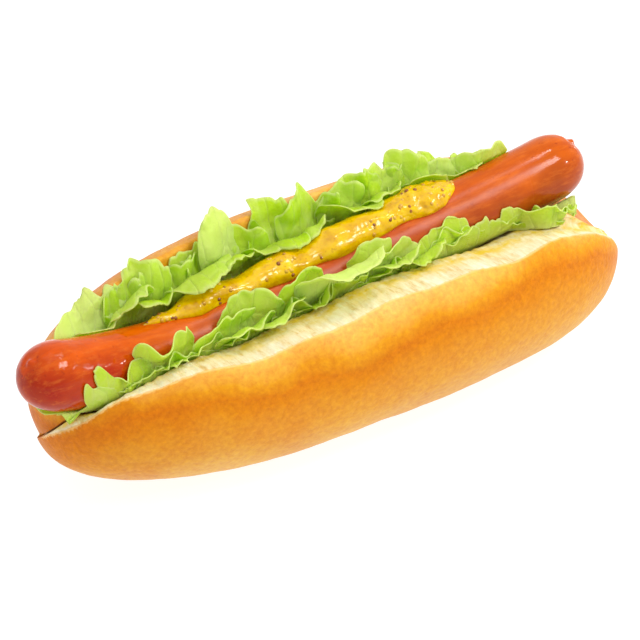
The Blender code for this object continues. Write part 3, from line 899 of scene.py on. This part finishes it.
def leafRoot(collar, x):
    # where each leaf comes out from beside the sausage; at the ends the near one stands on the cut
    side = collar["side"]
    axis = sausageAxis(x)
    inside = np.clip(x, -0.485 * bun["length"], 0.485 * bun["length"])
    if side > 0:
        drop = np.clip(axis[..., 2] - bunTop(inside, wallInner(inside, 55 * mm)) + 14 * mm, 0, 7.5 * mm)
        deeper = 0 * drop
    else:
        cut = shelfHeight(inside, axis[..., 1] - 0.8 * bed["liner"])
        drop = np.clip(axis[..., 2] - cut + 6 * mm, 0, 7.5 * mm)
        deeper = np.maximum(axis[..., 2] - drop - cut - 0.8 * mm, 0)
    y = axis[..., 1] + side * np.sqrt(bed["liner"] ** 2 - drop**2)
    z = axis[..., 2] - drop - deeper
    if side < 0:
        forward = smooth((x - 51 * mm) / (12 * mm))
        wanted = shelfRim(inside) + (7 + 1.4 * smooth((x - 55 * mm) / (13 * mm))) * mm
        y = y + (wanted - y) * forward
        z = z + (cutHeight(inside, y) + 0.4 * mm - z) * forward
    return np.stack([x, y, z], axis=-1)


def collarSheet(collar):
    rows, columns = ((220, 26))
    x = np.linspace(collar["ends"][0] * mm, collar["ends"][1] * mm, rows)[:, None] * np.ones(columns)
    v = np.linspace(0, 1, columns) * np.ones((rows, 1))
    side = collar["side"]
    root, axis = leafRoot(collar, x), sausageAxis(x)
    parting = np.arccos(np.clip((root[..., 2] - axis[..., 2]) / bed["liner"], -0.74, 0.3))
    foot = math.radians(collar["foot"])
    around = foot + (side * parting - foot) * np.clip(v / 0.5, 0, 1)
    wrapped = aroundAxis(x, around, np.full(np.shape(around), bed["liner"]))
    free = np.clip((v - 0.5) / 0.5, 0, 1)
    left, right = (each * mm for each in collar["ends"])
    openLeft, openRight = (each * mm for each in collar["opening"])
    shut = np.maximum(1 - smooth((x - left) / openLeft), 1 - smooth((right - x) / openRight))
    turns = 2 * math.pi * x / (collar["ruffle"] * mm)
    phase = turns + 0.8 * np.sin(0.37 * turns + collar["phase"])
    tall = (collar["rise"] + 1.1 * np.sin(2.3 * phase + 1) + 0.4 * np.sin(6.1 * phase)) * mm
    if side < 0:
        tall = tall * (1 - 0.55 * smooth((x - 38 * mm) / (18 * mm)))
    reach = tall * (1 - 0.7 * shut) * free
    lean = math.radians(collar["lean"]) * free
    sway = collar["reach"] * mm * free**1.7 * np.cos(phase) * (1 - 0.7 * shut)
    sway = sway + 0.4 * collar["reach"] * mm * free**3 * np.cos(2.7 * phase + 1)
    out = side * (reach * np.sin(lean / 2) + sway)
    moved = (root - wrapped[:, -1:]) * smooth(free / 0.3)[..., None]
    return wrapped + moved + np.stack([0 * x, out, reach * np.cos(lean / 2)], axis=-1), free


def lobeSheet(collar, lobe, order):
    # one torn lobe: a fan that bends outwards or over, deeper ruffled towards its margin
    across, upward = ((43, 25))
    middle, width, length, lean, curl, turn, waves, depth, slant, cup, _ = lobe
    side = collar["side"]
    q = np.linspace(-1, 1, across)[:, None] * np.ones(upward)
    t = np.linspace(0, 1, upward) * np.ones((across, 1))
    draw = random.Random(order * 7 + (3 if side > 0 else 5))
    beat = [draw.uniform(0, 2 * math.pi) for _ in range(8)]
    # rounded scallops with narrow notches, and a fine unevenness
    s = q * width / 2
    scallops = np.abs(np.sin(s / draw.uniform(1.2, 1.9) + beat[0] + 0.6 * np.sin(s / 3 + beat[7]))) ** 0.8
    teeth = 0.9 * (scallops - 0.6) + 1.0 * np.sin(s / 3.4 + beat[1]) + 0.15 * np.sin(s * 2.3 + beat[2])
    reach = length * (1 - 0.36 * np.abs(q) ** 3.6) + teeth * min(1, waves / 0.9)
    along = t * reach / length  # 0 at the root, about 1 at the margin
    angle = np.radians(lean * smooth(along / 0.5) + curl * np.clip(along - 0.2, 0, 2) ** 1.4)
    angle = angle + 0.25 * np.sin(1.3 * q + beat[6]) * along
    step = reach * mm / (upward - 1)
    out = np.cumsum(np.sin(angle) * step, axis=1) - np.sin(angle[:, :1]) * step
    rise = np.cumsum(np.cos(angle) * step, axis=1) - np.cos(angle[:, :1]) * step
    fan = q * width / 2 * mm * (0.7 + 0.3 * along**0.8)
    phase = waves * math.pi * q + beat[3]
    fold = depth * mm * smooth((along - 0.12) / 0.88) * along
    push = fold * (np.cos(phase) + 0.3 * np.cos(2.3 * phase + beat[4])) + cup * mm * q**2 * along
    push = push + 0.22 * fold * along**2 * np.cos(3.7 * phase + beat[5])
    push = push + 0.35 * mm * smooth((along - 0.6) / 0.4) * np.sin(s / 1.2 + beat[5] + np.sin(s / 2))
    slide = -0.25 * fold * np.sin(2 * phase) + slant * mm * along**1.5
    swivel = math.radians(turn)
    x = middle * mm + fan * math.cos(swivel) + slide
    root = leafRoot(collar, x)
    y = root[..., 1] + side * (out + push * np.cos(angle)) + fan * math.sin(swivel) * along
    z = root[..., 2] + rise - push * np.sin(angle)
    rim = np.maximum(t, smooth(t / 0.5) * np.abs(q))
    points = np.stack([x, y, z], axis=-1)
    flat = points.reshape(-1, 3)
    crumple = [noiseAt(flat, 6 * mm, order + 40 * k) + 0.35 * noiseAt(flat, 2.4 * mm, order + 9 * k) for k in (1, 2)]
    crumple = np.stack(crumple, axis=-1).reshape(points.shape[:2] + (2,)) * (1.1 * mm * smooth(along / 0.6))[..., None]
    points[..., 1:] += crumple
    return points, rim


def keepClear(points, side):
    # off the sausage and the mustard, inside the bed, and above the cut or over the wall's lip
    room = 0.55 * mm
    for _ in range(3):
        x, y, z = np.moveaxis(points, -1, 0)
        centre, forward, _, _ = axisFrame(x)
        axisY, axisZ, tilt = centre[..., 1], centre[..., 2], forward[..., 0]
        dy, dz = y - axisY, (z - axisZ) * tilt
        reach = np.maximum(np.hypot(dy, dz), 1e-6)
        least = sausage["radius"] + room + mustardThickness(x, np.arctan2(dy, dz)) * 1.15
        within = dz < 0
        if side < 0:
            within = within & (y > shelfInner(x)) & (x < 60 * mm)
        most = np.where(within, bed["liner"], 1)
        push = np.clip(reach, least, np.maximum(least, most)) / reach
        y, z = axisY + dy * push, axisZ + dz * push / tilt
        if side > 0:
            lip = bunTop(x, wallInner(x, 55 * mm)) + 2 * room
            limit = wallInner(x, z) - 1.2 * room + 6 * np.maximum(z - lip, 0)
            y = np.where((z > axisZ) & (z < lip + 2 * mm), np.minimum(y, limit), y)
            beyond = y > wallInner(x, lip) - 1.2 * room
            z = np.where(beyond, np.maximum(z, bunTop(x, y) + 1.2 * room), z)
        else:
            inner = axisY - bed["radius"]
            lip = np.where(inner < shelfInner(x), shelfHeight(x, inner), bunTop(x, inner)) + 1.5 * room
            limit = inner + 0.95 * room - 1.6 * np.maximum(z - lip, 0)
            y = np.where((z > axisZ) & (z < lip + 2 * mm) & (x < 60 * mm), np.maximum(y, limit), y)
            past = np.where(x > 60 * mm, axisY - 6 * mm, np.minimum(inner, shelfInner(x)))
            z = np.where((y < past) & (y > shelfRim(x)), np.maximum(z, cutHeight(x, y) + 1.2 * room), z)
        points = np.stack([x, y, z], axis=-1)
    return points


def makeLeaf(collar):
    sheets = [collarSheet(collar)]
    # low lobes close the gaps behind the ones in the table
    left, right, step, length, lean = collar["fillers"]
    draw = random.Random(11 + collar["side"])
    fillers = []
    for x in np.arange(left, right, step):
        turn, slant = draw.uniform(-25, 25), draw.uniform(-3, 3)
        pale = draw.uniform(-0.4, 0.3)
        fillers.append((x, step * 1.7, length + draw.uniform(-2, 2), lean, draw.uniform(20, 60), turn, 1.1, 2.2, slant, 1, pale))
    chosen = list(lobes[collar["name"]]) + fillers
    sheets += [lobeSheet(collar, lobe, order) for order, lobe in enumerate(chosen)]
    tones = [-0.3] + [lobe[-1] for lobe in chosen]
    parts = []
    for order, (points, rim) in enumerate(sheets):
        points = keepClear(points, collar["side"])
        sheet, i, j = addShapedGrid(collar["name"], fromMiddle(points))
        setAttribute(sheet, "margin", rim[i, j])
        setAttribute(sheet, "lobeToneAndLight", np.full(len(i), 0.5 + 0.5 * tones[order]))
        steps = np.linalg.norm(np.diff(points, axis=1), axis=-1)
        upward = np.concatenate([np.zeros((len(points), 1)), np.cumsum(steps, axis=1)], axis=1)
        flat = np.stack([points[..., 0] + order * 31 * mm, upward], axis=-1)[i, j] / (10 * mm)
        layer = sheet.data.uv_layers.new(name="leafMap")
        corner = np.zeros(len(sheet.data.loops), int)
        sheet.data.loops.foreach_get("vertex_index", corner)
        layer.data.foreach_set("uv", flat[corner].ravel())
        parts.append(sheet)
    makeActive(parts[0])
    for part in parts:
        part.select_set(True)
    bpy.ops.object.join()
    piece = bpy.context.object
    piece.name = collar["name"]
    applyModifier(piece, "SOLIDIFY", thickness=leafThickness, offset=0)
    makeActive(piece)
    bpy.ops.object.mode_set(mode="EDIT")
    bpy.ops.mesh.select_all(action="SELECT")
    bpy.ops.mesh.normals_make_consistent(inside=False)
    bpy.ops.object.mode_set(mode="OBJECT")
    return piece


def leafMaterial():
    s = Shader("lettuceLeaf")
    place = s.add("ShaderNodeTexCoord").outputs["Object"]
    mapNode = s.tree.nodes.new("ShaderNodeUVMap")
    mapNode.uv_map = "leafMap"
    flat = mapNode.outputs[0]
    margin = s.attribute("margin")
    patches = s.noise(place, 60.0, 2.0)
    tone = s.ramp(
        s.math("ADD", s.math("MULTIPLY", margin, 0.75), s.math("MULTIPLY", patches, 0.35)),
        (
            (0.10, linear(240, 246, 176)),
            (0.35, linear(226, 240, 110)),
            (0.70, linear(214, 240, 60)),
            (1.00, linear(202, 234, 40)),
        ),
    )
    # lobes with a low value are painted darker green and high ones paler: partly each lobe's own tone and partly
    # painted light and shade set lobe by lobe; the collar is given a darker value
    darkerToneAndShade = s.ramp(s.attribute("lobeToneAndLight"), ((0.1, 0.5), (0.5, 0.0)))
    tone = s.mix(darkerToneAndShade, tone, linear(150, 200, 20))
    palerToneAndLight = s.ramp(s.attribute("lobeToneAndLight"), ((0.5, 0.0), (1.0, 0.75)))
    tone = s.mix(palerToneAndLight, tone, linear(238, 246, 168))
    tone = s.mix(s.ramp(s.noise(place, 160.0, 3.0, 0.6), ((0.48, 0.0), (0.7, 0.4))), tone, linear(240, 248, 160))
    stretch = s.add("ShaderNodeMapping", Vector=flat)
    stretch.inputs["Scale"].default_value = (1, 0.35, 1)
    cells = s.add("ShaderNodeTexVoronoi", Vector=stretch.outputs[0], Scale=2.2)
    cells.feature = "DISTANCE_TO_EDGE"
    fineCells = s.add("ShaderNodeTexVoronoi", Vector=flat, Scale=7.0)
    fineCells.feature = "DISTANCE_TO_EDGE"
    veins = s.ramp(cells.outputs["Distance"], ((0.0, 1.0), (0.05, 0.35), (0.12, 0.0)))
    fineVeins = s.ramp(fineCells.outputs["Distance"], ((0.0, 1.0), (0.06, 0.0)))
    tone = s.mix(s.math("MULTIPLY", veins, 0.16), tone, linear(246, 250, 190))
    tone = s.mix(s.math("MULTIPLY", fineVeins, 0.06), tone, linear(246, 250, 190))
    # a pale line along each margin: partly the thin edge's own paler colour and partly a painted rim highlight
    rim = s.ramp(margin, ((0.95, 0.0), (0.99, 0.6)))
    tone = s.mix(rim, tone, linear(246, 250, 180))
    s.feed(s.main, "Base Color", tone)
    s.main.inputs["Roughness"].default_value = 0.42
    s.main.inputs["Specular IOR Level"].default_value = 0.25
    relief = s.math("ADD", s.math("MULTIPLY", veins, -0.5), s.math("MULTIPLY", s.noise(place, 260.0, 3.0, 0.6), 1.4))
    bumped = s.bump(relief, 0.0008, 0.5)
    s.feed(s.main, "Normal", bumped)
    through = s.add("ShaderNodeBsdfTranslucent", Color=s.mix(0.5, tone, linear(226, 250, 30)), Normal=bumped)
    both = s.add("ShaderNodeMixShader")
    both.inputs[0].default_value = 0.5
    s.tree.links.new(s.main.outputs[0], both.inputs[1])
    s.tree.links.new(through.outputs[0], both.inputs[2])
    s.tree.links.new(both.outputs[0], s.output.inputs[0])
    return s.material


green = leafMaterial()
for collar in collars:
    finishPiece(makeLeaf(collar), "lettuce", green, collar["node"])
print("stage: lettuce done")


studio = {
    "azimuth": math.radians(30),
    "elevation": math.radians(38),
    "distance": 0.8,
    "aimHeight": 30 * mm,
    "sideShift": 3.29 * mm,
    "downShift": 3.56 * mm,
    "lens": 164.25,
    "world": 0.82,
    "key": 0.5,
    "glint": 0.7,
    "soft": 2.5,
    "rim": 0.9,
    "side": 0.6,
}


def makeStudio():
    deselectAll()
    bpy.ops.mesh.primitive_plane_add(size=6, location=(0, 0, -0.0002))
    floor = bpy.context.object
    floor.name = "floor"
    s = Shader("paleFloor")
    s.main.inputs["Base Color"].default_value = (0.3, 0.3, 0.3, 1)
    s.main.inputs["Roughness"].default_value = 0.9
    s.main.inputs["Emission Color"].default_value = (1, 1, 1, 1)
    s.main.inputs["Emission Strength"].default_value = 0.85
    floor.data.materials.append(s.material)
    world = bpy.data.worlds.new("paleRoom")
    world.use_nodes = True
    world.node_tree.nodes["Background"].inputs[0].default_value = (1, 1, 1, 1)
    world.node_tree.nodes["Background"].inputs[1].default_value = studio["world"]
    bpy.context.scene.world = world
    for name, power, size, place in (
        ("keyLight", studio["key"], 0.45, (-0.05, 0.12, 0.8)),
        ("glintLight", studio["glint"], 0.10, (0.22, 0.10, 0.77)),
        ("softLight", studio["soft"], 0.2, (0.24, -0.34, 0.70)),
        ("rimLight", studio["rim"], 0.03, (0.55, -0.50, 0.47)),
        ("sideLight", studio["side"], 0.14, (0.75, 0.22, 0.14)),
    ):
        deselectAll()
        bpy.ops.object.light_add(type="AREA", location=place)
        lamp = bpy.context.object
        lamp.name = name
        lamp.data.energy = power
        lamp.data.size = size
        aim = Vector((0, 0, 0.04)) - lamp.location
        lamp.rotation_euler = aim.to_track_quat("-Z", "Y").to_euler()


def makeCamera():
    azimuth, elevation = studio["azimuth"], studio["elevation"]
    back = Vector((-math.sin(azimuth) * math.cos(elevation), -math.cos(azimuth) * math.cos(elevation), math.sin(elevation)))
    side = Vector((math.cos(azimuth), -math.sin(azimuth), 0))
    up = back.cross(side)
    target = Vector((bunMiddle, 0, studio["aimHeight"]))
    deselectAll()
    place = target + back * studio["distance"] - side * studio["sideShift"] - up * studio["downShift"]
    bpy.ops.object.camera_add(location=place)
    camera = bpy.context.object
    camera.rotation_euler = (-back).to_track_quat("-Z", "Y").to_euler()
    camera.data.lens = studio["lens"]
    camera.data.sensor_width = 36
    camera.data.clip_start = 0.01
    bpy.context.scene.camera = camera


makeStudio()
makeCamera()
bpy.context.scene.view_settings.view_transform = "Standard"
print("stage: studio done")
